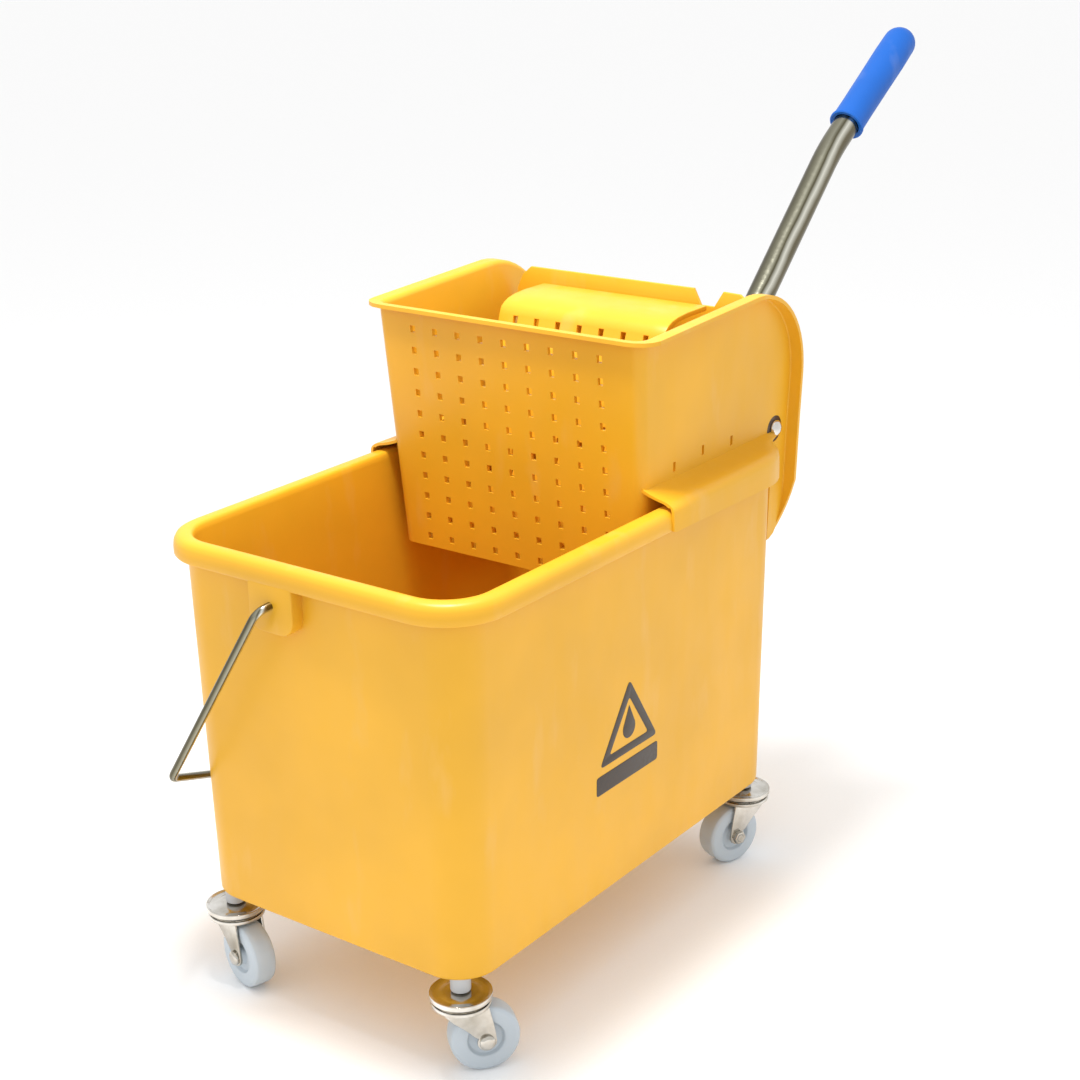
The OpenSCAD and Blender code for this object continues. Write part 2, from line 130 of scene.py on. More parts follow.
def metal(name, dark, light, rough, scale=40):
    """Plated steel: cloudy tone and an uneven roughness."""
    mat, nodes, links, bsdf = new_material(name)
    cloud = noise(nodes, links, scale, 5)
    links.new(ramp(nodes, links, cloud, [(0.3, dark), (0.7, light)]), bsdf.inputs["Base Color"])
    fine = noise(nodes, links, 400, 3)
    links.new(spread(nodes, links, fine, rough - 0.03, rough + 0.05), bsdf.inputs["Roughness"])
    bump(nodes, links, bsdf, noise(nodes, links, 150, 2), 0.10, 0.0001)
    bsdf.inputs["Metallic"].default_value = 1.0
    return mat


def chrome_with_painted_reflections():
    """Bright tube and wire: painted reflections, long dark and pale streaks in the base colour, placed by the
    way the surface faces.
    """
    mat, nodes, links, bsdf = new_material("chromed_steel")
    coord = nodes.new("ShaderNodeTexCoord")
    # Painted reflection: the surface's object-space facing, swayed by noise, sets where the dark and pale
    # bands fall.
    facing = nodes.new("ShaderNodeVectorMath")
    facing.operation = "DOT_PRODUCT"
    facing.inputs[1].default_value = (0.80, 0.55, 0.25)
    links.new(coord.outputs["Normal"], facing.inputs[0])
    turn = nodes.new("ShaderNodeMapRange")
    turn.inputs["From Min"].default_value = -1.0
    turn.inputs["From Max"].default_value = 1.0
    turn.inputs["To Max"].default_value = 0.70
    links.new(facing.outputs["Value"], turn.inputs["Value"])
    painted_reflection_position = nodes.new("ShaderNodeMath")
    painted_reflection_position.operation = "MULTIPLY_ADD"
    painted_reflection_position.inputs[1].default_value = 0.14
    links.new(noise(nodes, links, 14, 3), painted_reflection_position.inputs[0])
    links.new(turn.outputs["Result"], painted_reflection_position.inputs[2])
    # Painted reflections: the pale stops are painted highlights and the dark stops are painted dark
    # reflections.
    streaks = ramp(nodes, links, painted_reflection_position.outputs["Value"], [
        (0.03, (0.42, 0.41, 0.34)), (0.10, (0.12, 0.11, 0.07)), (0.22, (0.09, 0.08, 0.05)),
        (0.34, (0.22, 0.21, 0.15)), (0.44, (0.32, 0.31, 0.24)), (0.52, (0.10, 0.09, 0.05)),
        (0.60, (0.72, 0.71, 0.62)), (0.68, (0.16, 0.14, 0.09)), (0.80, (0.10, 0.09, 0.06)),
        (0.90, (0.42, 0.41, 0.34))])
    links.new(streaks, bsdf.inputs["Base Color"])
    links.new(spread(nodes, links, noise(nodes, links, 300, 4), 0.14, 0.26), bsdf.inputs["Roughness"])
    bump(nodes, links, bsdf, noise(nodes, links, 220, 3), 0.06, 0.0001)
    bsdf.inputs["Metallic"].default_value = 1.0
    return mat


def printed_ink():
    """Screen-printed ink: near black, worn a little through to grey."""
    mat, nodes, links, bsdf = new_material("printed_ink")
    wear = noise(nodes, links, 350, 8)
    links.new(ramp(nodes, links, wear, [(0.25, (0.030, 0.022, 0.018)), (0.8, (0.07, 0.05, 0.035))]),
              bsdf.inputs["Base Color"])
    links.new(spread(nodes, links, wear, 0.35, 0.55), bsdf.inputs["Roughness"])
    return mat


MAT = {
    "yellow_plastic": plastic("yellow_plastic", YELLOW, 0.38, 0.05, 700),
    "grey_plastic": plastic("grey_plastic", (0.55, 0.56, 0.57), 0.45),
    "wheel_plastic": plastic("wheel_plastic", (0.50, 0.56, 0.61), 0.42, 0.08, 500),
    "blue_plastic": plastic("blue_plastic", (0.002, 0.105, 0.47), 0.52, 0.06, 600),
    # chromed_steel has painted reflection streaks in its base colour.
    "chromed_steel": chrome_with_painted_reflections(),
    "zinc_steel": metal("zinc_steel", (0.36, 0.33, 0.27), (0.80, 0.78, 0.74), 0.16),
    "dark_steel": metal("dark_steel", (0.07, 0.05, 0.04), (0.16, 0.12, 0.10), 0.30, scale=120),
    "ink": printed_ink(),
}


# ---- mesh helpers (millimetres in, metres out) ----

def add_object(name, mesh, body, slot, node=None, material=None, sharp=35):
    mesh.shade_smooth()
    mesh.set_sharp_from_angle(angle=math.radians(sharp))
    obj = bpy.data.objects.new(name, mesh)
    bpy.context.scene.collection.objects.link(obj)
    mesh.materials.append(MAT[material or slot])
    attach(obj, body)
    if node:
        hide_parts(node)
    return obj


def mesh_from(name, verts, faces):
    mesh = bpy.data.meshes.new(name)
    mesh.from_pydata([Vector(v) * MM for v in verts], [], faces)
    clean = bmesh.new()
    clean.from_mesh(mesh)
    bmesh.ops.remove_doubles(clean, verts=clean.verts, dist=1e-6)
    bmesh.ops.recalc_face_normals(clean, faces=clean.faces)
    clean.to_mesh(mesh)
    clean.free()
    return mesh


def joined(name, parts):
    """One mesh of several (verts, faces) lists."""
    verts, faces = [], []
    for part_verts, part_faces in parts:
        base = len(verts)
        verts += [tuple(v) for v in part_verts]
        faces += [[base + i for i in f] for f in part_faces]
    return mesh_from(name, verts, faces)


def moved(part, matrix):
    return [matrix @ Vector(v) for v in part[0]], part[1]


def loft(loops):
    """A closed solid through a list of loops of equal length."""
    n = len(loops[0])
    verts = [v for loop in loops for v in loop]
    faces = [[i * n + j, i * n + (j + 1) % n, (i + 1) * n + (j + 1) % n, (i + 1) * n + j]
             for i in range(len(loops) - 1) for j in range(n)]
    faces += [list(range(n))[::-1], [(len(loops) - 1) * n + j for j in range(n)]]
    return verts, faces


def lathe(profile, steps=48):
    """A solid of revolution about Z from (radius, height) points."""
    loops = [[(r * math.cos(a), r * math.sin(a), h) for a in (2 * math.pi * k / steps for k in range(steps))]
             for r, h in profile]
    return loft(loops)


def along(axis, origin):
    """A matrix that takes +Z to axis and the origin to a point."""
    return Matrix.Translation(origin) @ Vector(axis).to_track_quat("Z", "Y").to_matrix().to_4x4()


def rounded(profile, radius, steps=3):
    """(r, h) points with each inner corner rounded."""
    out = [profile[0]]
    for before, corner, after in zip(profile, profile[1:], profile[2:]):
        a, c, b = Vector(before), Vector(corner), Vector(after)
        cut = min(radius, (a - c).length * 0.45, (b - c).length * 0.45)
        start, end = c + (a - c).normalized() * cut, c + (b - c).normalized() * cut
        for k in range(steps + 1):
            t = k / steps
            out.append(tuple(start * (1 - t) ** 2 + c * 2 * t * (1 - t) + end * t * t))
    return out + [profile[-1]]


def arc(cx, cy, r, a0, a1, steps):
    return [(cx + r * math.cos(math.radians(a0 + (a1 - a0) * k / steps)),
             cy + r * math.sin(math.radians(a0 + (a1 - a0) * k / steps))) for k in range(steps + 1)]


def plate(outline, holes, thickness, edge, matrix):
    """A flat plate with holes and softened edges; its middle lies in matrix's XY plane."""
    curve = bpy.data.curves.new("outline", "CURVE")
    curve.dimensions = "2D"
    curve.fill_mode = "BOTH"
    curve.extrude = thickness * MM / 2 - edge * MM
    curve.bevel_depth = edge * MM
    curve.bevel_resolution = 1
    curve.offset = -edge * MM
    for loop in [outline] + holes:
        spline = curve.splines.new("POLY")
        spline.points.add(len(loop) - 1)
        for point, (x, y) in zip(spline.points, loop):
            point.co = (x * MM, y * MM, 0, 1)
        spline.use_cyclic_u = True
    obj = bpy.data.objects.new("outline", curve)
    bpy.context.scene.collection.objects.link(obj)
    mesh = bpy.data.meshes.new_from_object(obj.evaluated_get(bpy.context.evaluated_depsgraph_get()))
    verts = [matrix @ (v.co / MM) for v in mesh.vertices]
    faces = [list(p.vertices) for p in mesh.polygons]
    bpy.data.objects.remove(obj)
    bpy.data.meshes.remove(mesh)
    bpy.data.curves.remove(curve)
    return verts, faces


def sweep(path, radius, steps):
    """A solid round bar along a list of points."""
    points = [Vector(p) for p in path]
    side = None
    loops = []
    for i, p in enumerate(points):
        tangent = (points[min(i + 1, len(points) - 1)] - points[max(i - 1, 0)]).normalized()
        if side is None:
            side = tangent.orthogonal().normalized()
        side = (side - tangent * side.dot(tangent)).normalized()
        other = tangent.cross(side)
        loops.append([p + (side * math.cos(a) + other * math.sin(a)) * radius
                      for a in (2 * math.pi * k / steps for k in range(steps))])
    return loft(loops)


def box(lo, hi):
    (x0, y0, z0), (x1, y1, z1) = lo, hi
    return loft([[(x0, y0, z), (x1, y0, z), (x1, y1, z), (x0, y1, z)] for z in (z0, z1)])


def thicken(mesh, thickness, name, bevel=0.0, cutter=None):
    """mesh with a wall of that thickness behind its faces, as a new mesh, less a cutter's mesh."""
    obj = bpy.data.objects.new(name, mesh)
    bpy.context.scene.collection.objects.link(obj)
    solid = obj.modifiers.new("solid", "SOLIDIFY")
    solid.thickness = thickness * MM
    solid.offset = -1
    solid.use_even_offset = True
    if cutter:
        tool = bpy.data.objects.new("cutter", cutter)
        bpy.context.scene.collection.objects.link(tool)
        cut = obj.modifiers.new("cut", "BOOLEAN")
        cut.operation = "DIFFERENCE"
        cut.solver = "EXACT"
        cut.object = tool
    if bevel:
        soft = obj.modifiers.new("soft", "BEVEL")
        soft.width = bevel * MM
        soft.segments = 2
        soft.limit_method = "ANGLE"
        soft.angle_limit = math.radians(50)
    out = bpy.data.meshes.new_from_object(obj.evaluated_get(bpy.context.evaluated_depsgraph_get()))
    bpy.data.objects.remove(obj)
    if cutter:
        bpy.data.objects.remove(tool)
    out.materials.clear()
    return out


def basis(x, y, z, origin=(0, 0, 0)):
    """A matrix whose columns are the given axes."""
    m = Matrix((x, y, z)).transposed().to_4x4()
    return Matrix.Translation(origin) @ m


# (a, b) of an outline read as (Y, Z), facing +X; and as (X, Z), facing -Y.
def facing_x(x):
    return basis((0, 1, 0), (0, 0, 1), (1, 0, 0), (x, 0, 0))


def facing_y(y):
    return basis((1, 0, 0), (0, 0, 1), (0, -1, 0), (0, y, 0))


# ---- tub ----

TUB_HX, TUB_HY, TUB_H, DRAFT, WALL, WALL_R = 128.5, 205.5, 280.0, 4.0, 3.0, 30.0
RIM_OVER, RIM_DROP, RIM_R = 10.5, 15.0, 58.0
LUG_X, LUG_HALF, LUG_LOW, LUG_R = -24.0, 20.0, 231.0, 12.0
PIVOT_Z = 251.0
CASTOR_X, CASTOR_Y = 107.0, 188.0
RIM_SPREAD, FRONT_TIGHTER = 1.5, 0.45


def rect_loop(hx, hy, rear_r, front_r, z):
    """A rounded rectangle at height z, with its own radius at the two front corners."""
    loop = []
    for sx, sy, a0 in ((1, 1, 0), (-1, 1, 90), (-1, -1, 180), (1, -1, 270)):
        r = front_r if sy < 0 else rear_r
        loop += [(x, y, z) for x, y in arc(sx * (hx - r), sy * (hy - r), r, a0, a0 + 90, 12)]
    return loop


def tub_loop(out, r, z):
    """A loop round the tub, out beyond the drafted wall at that height."""
    lean = DRAFT * (1 - z / TUB_H)
    wide = RIM_SPREAD * max(0.0, min(1.0, out / RIM_OVER))
    front_r = r - (r - WALL_R) * FRONT_TIGHTER
    return rect_loop(TUB_HX + out + wide - lean, TUB_HY + out - lean, r, front_r, z)


def tub_shell():
    foot, heel, floor_z, inner_r = 3.0, 12.0, 3.5, 28.0
    # The outside, up from the flat underside.
    loops = [tub_loop(-foot + foot * math.sin(a), WALL_R - foot + foot * math.sin(a),
                      foot - foot * math.cos(a)) for a in (math.radians(15 * k) for k in range(7))]
    loops += [tub_loop(0, WALL_R, z) for z in (60, 120, 180, 240)]
    # The rolled rim, out under its skirt, over its top and into the bowl.
    top, low = TUB_H, TUB_H - RIM_DROP
    loops += [tub_loop(out, r, z) for out, r, z in (
        (0, WALL_R, 271), (0.6, 31, 274), (2.5, 34, 275.6), (6, 47, 276), (7.6, 52, 275), (7.8, 54, 272),
        (7.8, 55, low + 1), (8.5, 56, low), (9.8, 57, low),
        (RIM_OVER, RIM_R, low + 1.2), (RIM_OVER, RIM_R, 270), (RIM_OVER - 0.5, RIM_R, 275),
        (RIM_OVER - 2, RIM_R - 2, 278.2), (RIM_OVER - 4.5, RIM_R - 6, 279.7), (3, 45, top), (-0.5, 38, top),
        (-1.8, 36, 279.3), (-2.7, 35, 277.6), (-WALL, 34, 274))]
    loops += [tub_loop(-WALL, inner_r, z) for z in (240, 180, 120, 60, 24)]
    loops += [tub_loop(-WALL - heel + heel * math.cos(a), inner_r - heel + heel * math.cos(a),
                       floor_z + heel - heel * math.sin(a))
              for a in (math.radians(15 * k) for k in range(1, 7))]
    return loft(loops)


def lug_outline():
    top = TUB_H - RIM_DROP + 4
    x0, x1 = LUG_X - LUG_HALF, LUG_X + LUG_HALF
    return ([(x1, top), (x0, top)] + arc(x0 + LUG_R, LUG_LOW + LUG_R, LUG_R, 180, 270, 8)
            + arc(x1 - LUG_R, LUG_LOW + LUG_R, LUG_R, 270, 360, 8))


def tub():
    pieces = [tub_shell()]
    face_front, face_rear = -TUB_HY - RIM_OVER + 0.4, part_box("tub")[1][1] / MM
    for y0, y1 in ((face_front, -TUB_HY + 3), (TUB_HY - 3, face_rear)):
        pieces.append(plate(lug_outline(), [], y1 - y0, 1.6, facing_y((y0 + y1) / 2)))
    for sx in (-1, 1):
        for sy in (-1, 1):
            boss = lathe(rounded([(0.01, 1), (8.8, 1), (8.8, 36), (0.01, 36)], 2))
            pieces.append(moved(boss, Matrix.Translation((sx * CASTOR_X, sy * CASTOR_Y, 0))))
    add_object("tub_moulding", joined("tub_moulding", pieces), "tub", "yellow_plastic", "tub")


# ---- bail ----

BAIL_ARM, BAIL_HANG, BAIL_SLOPE, BEND = 178.0, 33.0, 26.0, 9.0
FRONT_ARM_Y, REAR_ARM_Y, CROWN_HALF = -228.0, 252.0, 90.0


def bail():
    middle, half = (FRONT_ARM_Y + REAR_ARM_Y) / 2, (REAR_ARM_Y - FRONT_ARM_Y) / 2
    crown_r = CROWN_HALF / math.sin(math.radians(BAIL_SLOPE))
    rise = (half - CROWN_HALF) * math.tan(math.radians(BAIL_SLOPE))
    cut = BEND * math.tan(math.radians(45 - BAIL_SLOPE / 2))
    front, rear, stub = FRONT_ARM_Y, REAR_ARM_Y, TUB_HY + 3
    path = [(-stub, 0)] + arc(front + BEND, BEND, BEND, 270, 180, 6)
    path += arc(front + BEND, BAIL_ARM - cut, BEND, 180, 90 + BAIL_SLOPE, 6)
    path += arc(middle, BAIL_ARM + rise - crown_r * math.cos(math.radians(BAIL_SLOPE)), crown_r,
                90 + BAIL_SLOPE, 90 - BAIL_SLOPE, 16)
    path += arc(rear - BEND, BAIL_ARM - cut, BEND, 90 - BAIL_SLOPE, 0, 6)
    path += arc(rear - BEND, BEND, BEND, 0, -90, 6) + [(stub, 0)]
    hang = math.radians(BAIL_HANG)
    points = [(LUG_X - d * math.sin(hang), y, PIVOT_Z - d * math.cos(hang)) for y, d in path]
    add_object("bail_wire", joined("bail_wire", [sweep(points, 3.0, 20)]), "bail", "chromed_steel", "bail")


# ---- castors ----

AXLE_Z, TRAIL = -48.7, 15.0
CASTORS = {"fr": (1, -1, 51), "fl": (-1, -1, -15), "rr": (1, 1, -109), "rl": (-1, 1, -70)}


def fork_leg(side):
    outline = ([(-13, -20.5), (-14, -24), (-8, -30.5), (-2.5, -35), (2.5, -39.5), (6.6, -44)]
               + arc(TRAIL, AXLE_Z, 7, 150, 360, 10) + [(21.3, -42), (20, -35), (18.4, -28), (17, -20.5)])
    return plate(outline, [], 2.0, 0.5, facing_y(side * 11.25))


def castor(key):
    sx, sy, azimuth = CASTORS[key]
    turn = Matrix.Rotation(math.radians(azimuth), 4, "Z")
    place = Matrix.Translation((sx * CASTOR_X, sy * CASTOR_Y, 0)) @ turn
    base, swivel, roll = "tub", f"castor_{key}_swivel", f"castor_{key}_wheel"
    across = along((0, -1, 0), (TRAIL, 0, AXLE_Z))

    def put(name, parts, body, slot, node):
        add_object(f"{name}_{key}", joined(name, [moved(p, place) for p in parts]), body, slot, node)

    dish = lathe(rounded([(0.01, -12), (12, -12.2), (16, -13.4), (19.4, -13.6), (21.6, -12.2), (22.25, -12.6),
                          (22.25, -15.8), (21.2, -16.4), (19, -16), (0.01, -15.4)], 0.8))
    throat = lathe([(0.01, -15), (15.5, -15), (15.5, -18.2), (0.01, -18.2)])
    stem = lathe([(0.01, 30), (4.9, 30), (4.9, -11.5), (0.01, -11.5)])
    put("castor_dish", [dish, throat, stem], base, "zinc_steel", f"castor_{key}_stem")

    race = lathe(rounded([(3.1, -19), (17, -19), (20.4, -18.4), (21.3, -18.8), (21.3, -21.2), (18, -22.2),
                          (3.1, -22.2)], 0.6))
    put("castor_fork", [race, fork_leg(-1), fork_leg(1)], swivel, "zinc_steel", f"castor_{key}_fork")

    head = moved(lathe(rounded([(0.01, 12.25), (5.6, 12.25), (5.6, 14.2), (3.6, 15.3), (0.01, 15.6)], 0.7)),
                 across)
    shank = moved(lathe([(0.01, -16.6), (2.7, -16.6), (3, -16.2), (3, 12.5), (0.01, 12.5)]), across)
    put("castor_axle", [head, shank], swivel, "zinc_steel", f"castor_{key}_axle")
    hexagon = [(5.6 * math.cos(math.radians(60 * k)), 5.6 * math.sin(math.radians(60 * k))) for k in range(6)]
    bore = arc(0, 0, 3.05, 0, 330, 11)
    nut = moved(plate(hexagon, [bore], 4, 0.5, Matrix.Translation((0, 0, -14.3))), across)
    put("castor_nut", [nut], swivel, "zinc_steel", f"castor_{key}_nut")

    half = [(3.05, 9.9), (6.4, 9.9), (6.8, 6.4), (12.2, 5.9), (13.4, 8.9), (15.5, 9.2), (22.3, 9.0),
            (24.5, 7.6), (25, 4.2)]
    profile = half + [(r, -h) for r, h in half[::-1]]
    put("castor_tread", [moved(lathe(rounded(profile, 0.8), 64), across)], roll, "wheel_plastic",
        f"castor_{key}_wheel")


def castor_sleeves():
    sleeve = lathe(rounded([(5, -11), (7, -11), (7.25, -10), (7.25, -1), (7.25, 1), (5, 1)], 0.5))
    parts = [moved(sleeve, Matrix.Translation((sx * CASTOR_X, sy * CASTOR_Y, 0)))
             for sx in (-1, 1) for sy in (-1, 1)]
    add_object("castor_collars", joined("castor_collars", parts), "tub", "grey_plastic", "castor_sleeves")


# ---- wringer housing ----

TOP, LOW, TILT = 406.0, 209.0, math.tan(math.radians(4.17))
CHEEK_X, CHEEK_TILT = 118.0, math.tan(math.radians(2.24))
ARC_Y, ARC_Z, ARC_R = 160.0, 335.0, 76.5
LOBE = [(236.2, 320), (235.6, 300), (235.4, 280), (235.4, 262), (235.2, 246), (234.6, 234),
        (232.6, 224), (229, 215), (224.5, 207.5), (219, 202), (212.5, 199)]
CORNER, ROLL, SKIN = 6.5, 4.0, 3.0
RIM_TURN_X, RIM_TURN_Y, SADDLE_X = 81.0, 158.0, 142.4
PANEL_Y, LIP_FRONT, LIP_SIDE = 184.0, 5.5, 9.0
HOLE_W, HOLE_H, HOLE_PITCH, ROW_PITCH, FIRST_ROW = 4.5, 5.5, 21.3, 16.8, 386.0
CHEEK_SLOTS = ((65, 299), (104, 302), (145, 299))
NOTCH_Y0, NOTCH_Y1, NOTCH_Z = 189.0, 208.5, 281.6
SHAFT_Y, SHAFT_Z, BOSS_X = 210.0, 293.0, 114.6
HINGE_Y, HINGE_Z = 66.0, 224.0


def front_y(z):
    return 17.3 + (TOP - z) * TILT


def cheek_x(z):
    return CHEEK_X - (TOP - z) * CHEEK_TILT


def cheek_edge():
    """(y, z, outward in the cheek plane) down the outline of the cheek's free edge, from the front."""
    corner_y = front_y(TOP) + CORNER
    points = []
    for k in range(9):
        t = k / 8
        points.append((corner_y + (ARC_Y - corner_y) * t, TOP + (ARC_Z + ARC_R - TOP) * t, (0, 1)))
    for k in range(1, 15):
        a = math.radians(90 - 90 * k / 14)
        points.append((ARC_Y + ARC_R * math.cos(a), ARC_Z + ARC_R * math.sin(a), (math.cos(a), math.sin(a))))
    low = [(ARC_Y + ARC_R, ARC_Z)] + LOBE
    for before, (y, z), after in zip(low, LOBE, LOBE[1:] + [LOBE[-1]]):
        run = (Vector(after) - Vector(before)).normalized()
        points.append((y, z, (-run.y, run.x)))
    return points


def roll_size(z):
    """The rolled edge shrinks to almost nothing round the foot of the lobe."""
    return ROLL * min(1.0, max(0.12, (z - 196) / 50))


def hole_edges(middles, size):
    """The two edges of each hole in a row."""
    return [middle + half for middle in middles for half in (-size / 2, size / 2)]


def front_columns():
    return hole_edges([i * HOLE_PITCH for i in range(-4, 5)], HOLE_W)


def front_rows():
    middles = [FIRST_ROW - j * ROW_PITCH for j in range(10, -1, -1)]
    return [LOW] + hole_edges(middles, HOLE_H) + [TOP - ROLL - SKIN]


def shell_column(z, place):
    """A point of the U-shaped wall: place is ('x', x) on the front or ('corner', side, degrees)."""
    if place[0] == "x":
        return Vector((place[1], front_y(z), z)), Vector((0, -1, 0))
    _, side, degrees = place
    a = math.radians(degrees)
    normal = Vector((side * math.sin(a), -math.cos(a), 0))
    centre = Vector((side * (cheek_x(z) - CORNER), front_y(z) + CORNER, z))
    return centre + normal * CORNER, normal


def housing_shell():
    verts, faces = [], []

    def add(v):
        verts.append(tuple(v))
        return len(verts) - 1

    places = [("corner", -1, d) for d in (90, 67.5, 45, 22.5, 0)] + [("x", x) for x in front_columns()]
    places += [("corner", 1, d) for d in (0, 22.5, 45, 67.5, 90)]
    rows = front_rows()
    grid = [[add(shell_column(z, p)[0]) for p in places] for z in rows]
    for i in range(len(rows) - 1):
        for j in range(len(places) - 1):
            hole = i % 2 == 1 and 5 <= j < len(places) - 6 and (j - 5) % 2 == 0
            if not hole:
                faces.append([grid[i][j], grid[i][j + 1], grid[i + 1][j + 1], grid[i + 1][j]])

    def cheek_point(side, y, z, out=0.0):
        return Vector((side * (cheek_x(z) + out), y, z))

    for side in (-1, 1):
        # The flat cheek stops short of the outline by the roll, which shrinks down the lobe.
        inner = []
        for y, z, n in cheek_edge():
            size = roll_size(z)
            inset = size + SKIN * size / ROLL
            inner.append((y - n[0] * inset, z - n[1] * inset, n, size))
        inner[0] = (front_y(TOP - ROLL - SKIN) + CORNER, TOP - ROLL - SKIN, (0, 1), ROLL)
        # The notch at the cheek's foot lets it down over the tub's rear rim.
        ring = [cheek_point(side, front_y(z) + CORNER, z) for z in rows]
        ring += [cheek_point(side, y, z) for y, z, _, _ in inner[1:] if z > 260 or y > NOTCH_Y1 + 1]
        ring += [cheek_point(side, y, z) for y, z in (
            (NOTCH_Y1, 199.5), (NOTCH_Y1, NOTCH_Z - 2), (NOTCH_Y1 - 2, NOTCH_Z),
            (NOTCH_Y0 + 2, NOTCH_Z), (NOTCH_Y0, NOTCH_Z - 2), (NOTCH_Y0, LOW))]
        ids = [add(v) for v in ring]
        faces.append(ids if side < 0 else ids[::-1])
        # The rolled lip along the cheek's free edge.
        sections = []
        for y, z, n, size in inner:
            section = []
            for k in range(6):
                a = math.radians(90 * k / 5)
                out, up = size * (1 - math.cos(a)), size * math.sin(a)
                section.append(add(cheek_point(side, y + n[0] * up, z + n[1] * up, out)))
            flat = LIP_SIDE * size / ROLL
            section.append(add(cheek_point(side, y + n[0] * size, z + n[1] * size, size + flat)))
            sections.append(section)
        for a, b in zip(sections, sections[1:]):
            for k in range(6):
                face = [a[k], b[k], b[k + 1], a[k + 1]]
                faces.append(face if side < 0 else face[::-1])
    # The rolled lip across the front and round both corners.
    sections = []
    z = TOP - ROLL - SKIN
    for p in places:
        base, normal = shell_column(z, p)
        section = []
        for k in range(6):
            a = math.radians(90 * k / 5)
            section.append(add(base + normal * ROLL * (1 - math.cos(a)) + Vector((0, 0, ROLL * math.sin(a)))))
        reach = Vector((normal.x * (ROLL + LIP_SIDE), normal.y * (ROLL + LIP_FRONT), ROLL))
        section.append(add(base + reach))
        sections.append(section)
    for a, b in zip(sections, sections[1:]):
        for k in range(6):
            faces.append([a[k], b[k], b[k + 1], a[k + 1]])
    slots = [box((side * 108, y - 1.6, z - 3.8), (side * 122, y + 1.6, z + 3.8)) for side in (-1, 1)
             for y, z in CHEEK_SLOTS]
    skin = mesh_from("housing_skin", verts, faces)
    return thicken(skin, SKIN, "housing_skin", cutter=joined("slots", slots))


def saddle(side):
    """The flange that hangs the wringer on the tub's side rim and follows it round to the cheek's foot."""
    root = 112.8
    loops = []
    stations = [(26, 0.96)] + [(y, 1) for y in (27.5, 60, 100, 140, 157, 168, 178, 187, 194, 200, 205)]
    for y, shrink in stations:
        past = max(0.0, y - RIM_TURN_Y)
        reach = RIM_TURN_X + math.sqrt((SADDLE_X - RIM_TURN_X) ** 2 - past ** 2) - root
        low = 264.6 - 2.2 * (y - 26) / 130
        line = rounded([(0, 297.5), (1.5, 292), (11, 288.4), (reach - 5.5, 285.4), (reach - 0.6, 281.8),
                        (reach, 275), (reach, low)], 4.5, 4)
        inner = [(x - 2.2, z - 1.6 if x < reach - 2 else z) for x, z in line]
        mid_x, mid_z = reach * 0.6, 282
        loops.append([(side * (root + mid_x + (x - mid_x) * shrink), y, mid_z + (z - mid_z) * shrink)
                      for x, z in line + inner[::-1]])
    return loft(loops)


def rear_panel():
    outline = [(-106.5, LOW), (106.5, LOW), (114, 372), (112.5, 384), (107, 395), (99, 401.5), (84, 402),
               (76, 389.5), (64, 389.5), (57.5, 402), (-99, 402), (-107, 395), (-112.5, 384), (-114, 372)]
    slots = [[(s * 80 - 7, 256), (s * 80 + 7, 256), (s * 80 + 7, 322), (s * 80 - 7, 322)] for s in (-1, 1)]
    return plate(outline, slots, SKIN, 0.6, facing_y(PANEL_Y + SKIN / 2))


def housing_floor():
    y0 = front_y(LOW) + 1
    outline = [(-107, y0), (107, y0), (107, y0 + 27), (-107, y0 + 27)]
    corners = ((-2.2, -2.7), (2.2, -2.7), (2.2, 2.7), (-2.2, 2.7))
    holes = [[(i * HOLE_PITCH + dx, y + dy) for dx, dy in corners] for i in range(-4, 5) for y in (40, 51)]
    return plate(outline, holes, SKIN, 0.4, Matrix.Translation((0, 0, LOW + SKIN / 2)))


def wringer_housing():
    add_object("housing_shell", housing_shell(), "wringer", "yellow_plastic", "wringer_housing", sharp=40)
    boss = lathe(rounded([(5.1, 0), (14, 0), (14, -6), (5.1, -6)], 1.2))
    bosses = [moved(boss, along((s, 0, 0), (s * BOSS_X, SHAFT_Y, SHAFT_Z))) for s in (-1, 1)]
    parts = [rear_panel(), housing_floor(), saddle(1), saddle(-1)] + bosses
    add_object("housing_fittings", joined("housing_fittings", parts), "wringer", "yellow_plastic")


# ---- press plate ----

PLATE_T, PLATE_HALF, PLATE_HOLES, PLATE_ROWS, PLATE_PITCH = 4.0, 77.0, 7, 10, 13.8


